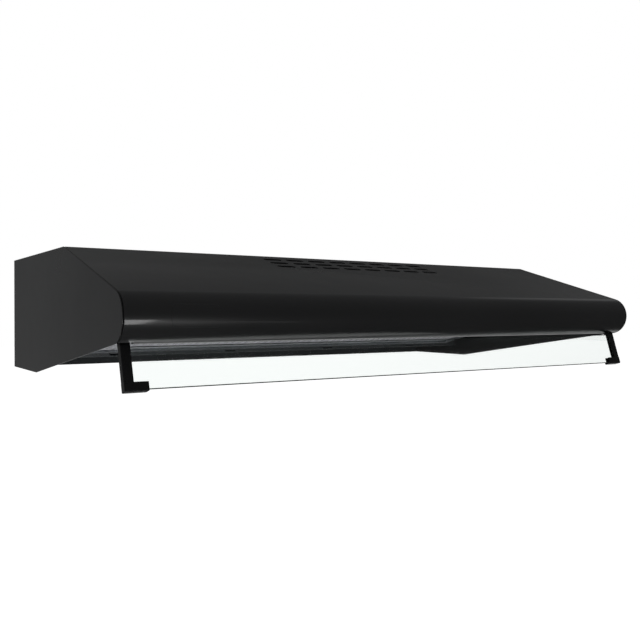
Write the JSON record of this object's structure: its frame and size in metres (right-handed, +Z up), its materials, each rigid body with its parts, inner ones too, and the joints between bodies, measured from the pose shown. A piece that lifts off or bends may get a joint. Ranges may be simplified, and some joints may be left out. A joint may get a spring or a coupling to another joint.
{
  "type": "under cabinet range hood",
  "caption": "Under cabinet range hood with a sloped slotted front, rolled nose, swing-down glass visor, drop-down grease filter, lamps, slide switches and a blower.",
  "frame": {"origin": "centre of the rear face, the flat face that goes against the wall: mid-width and half-way up", "axes": "+Y out of the rear face towards the wall, +Z up towards the cabinet, +X along the hood to the right of a person facing it; the nose and visor are on the -Y side"},
  "size_m": [0.762, 0.4733, 0.153],
  "materials": {
    "body_paint": "semi-gloss black enamel",
    "inner_steel": "satin dark grey enamel",
    "zinc_plate": "bright zinc plate",
    "filter_aluminium": "satin expanded mesh",
    "black_plastic": "fine texture",
    "grey_plastic": "moulded satin",
    "white_plastic": "moulded satin",
    "visor_glass": "clear toughened",
    "lamp_diffuser": "frosted",
    "lamp_glass": "pearl",
    "carbon_pad": "carbon-filled plastic",
    "lead_rubber": "smooth",
    "motor_steel": "zinc-grey"
  },
  "bodies": {
    "hood_body": {"air_duct": "zinc_plate", "blank_badge": "body_paint", "blower_inlet_guard": "black_plastic", "blower_screw_1": "zinc_plate", "blower_screw_2": "zinc_plate", "blower_screw_3": "zinc_plate", "blower_screw_4": "zinc_plate", "blower_scroll": "grey_plastic", "blower_top_plate": "zinc_plate", "cable_gland": "black_plastic", "canopy_shell": "body_paint", "capacitor_clip": "zinc_plate", "filter_catch_left": "black_plastic", "filter_catch_right": "black_plastic", "filter_side_rail_left": "inner_steel", "filter_side_rail_right": "inner_steel", "floor_panel": "inner_steel", "front_housing": "inner_steel", "lamp_bulb_left": "lamp_glass", "lamp_bulb_right": "lamp_glass", "lamp_holder_left": "white_plastic", "lamp_holder_right": "white_plastic", "lamp_lead": "lead_rubber", "lamp_lens_left": "lamp_diffuser", "lamp_lens_right": "lamp_diffuser", "lead_grommet": "lead_rubber", "light_switch": "grey_plastic", "motor_body": "motor_steel", "motor_capacitor": "white_plastic", "motor_lead": "lead_rubber", "outlet_blanking_cap": "black_plastic", "rear_panel": "inner_steel", "side_panel_left": "body_paint", "side_panel_right": "body_paint", "speed_switch": "grey_plastic", "terminal_box": "black_plastic", "terminal_box_cover": "black_plastic", "visor_hinge_plate_left": "black_plastic", "visor_hinge_plate_right": "black_plastic", "visor_pivot_pin_left": "zinc_plate", "visor_pivot_pin_right": "zinc_plate"},
    "visor": {"visor_glass": "visor_glass", "visor_arm_left": "black_plastic", "visor_arm_right": "black_plastic", "visor_clamp_screw_left": "zinc_plate", "visor_clamp_screw_right": "zinc_plate"},
    "filter": {"filter_frame": "filter_aluminium", "filter_mesh": "filter_aluminium"},
    "latch_left": {"filter_latch_left": "black_plastic"},
    "latch_right": {"filter_latch_right": "black_plastic"},
    "speed_slider": {"speed_slider_knob": "black_plastic"},
    "light_slider": {"light_slider_knob": "black_plastic"},
    "fan_wheel": {"impeller": "grey_plastic", "motor_shaft": "zinc_plate"},
    "charcoal_filter": {"charcoal_filter": "carbon_pad"}
  },
  "joints": [
    {"name": "visor_tilt", "type": "hinge", "parent": "hood_body", "child": "visor", "pos_m": [0, -0.446, -0.025], "axis": [1, 0, 0], "range_deg": [-15, 100]},
    {"name": "filter_tilt", "type": "hinge", "parent": "hood_body", "child": "filter", "pos_m": [0, -0.1105, -0.0565], "axis": [1, 0, 0], "range_deg": [0, 70]},
    {"name": "latch_left_slide", "type": "slide", "parent": "filter", "child": "latch_left", "axis": [0, 0.9632, -0.2689], "range_m": [0, 0.005], "stiffness_N_per_m": 300},
    {"name": "latch_right_slide", "type": "slide", "parent": "filter", "child": "latch_right", "axis": [0, 0.9632, -0.2689], "range_m": [0, 0.005], "stiffness_N_per_m": 300},
    {"name": "speed_slide", "type": "slide", "parent": "hood_body", "child": "speed_slider", "axis": [1, 0, 0], "range_m": [0, 0.018]},
    {"name": "light_slide", "type": "slide", "parent": "hood_body", "child": "light_slider", "axis": [1, 0, 0], "range_m": [0, 0.006]},
    {"name": "impeller_spin", "type": "hinge", "parent": "hood_body", "child": "fan_wheel", "pos_m": [0, -0.09, 0.02], "axis": [0, 0, 1], "continuous": true},
    {"name": "charcoal_twist", "type": "hinge", "parent": "hood_body", "child": "charcoal_filter", "pos_m": [0, -0.09, -0.02], "axis": [0, 0, 1], "range_deg": [0, 30]}
  ]
}
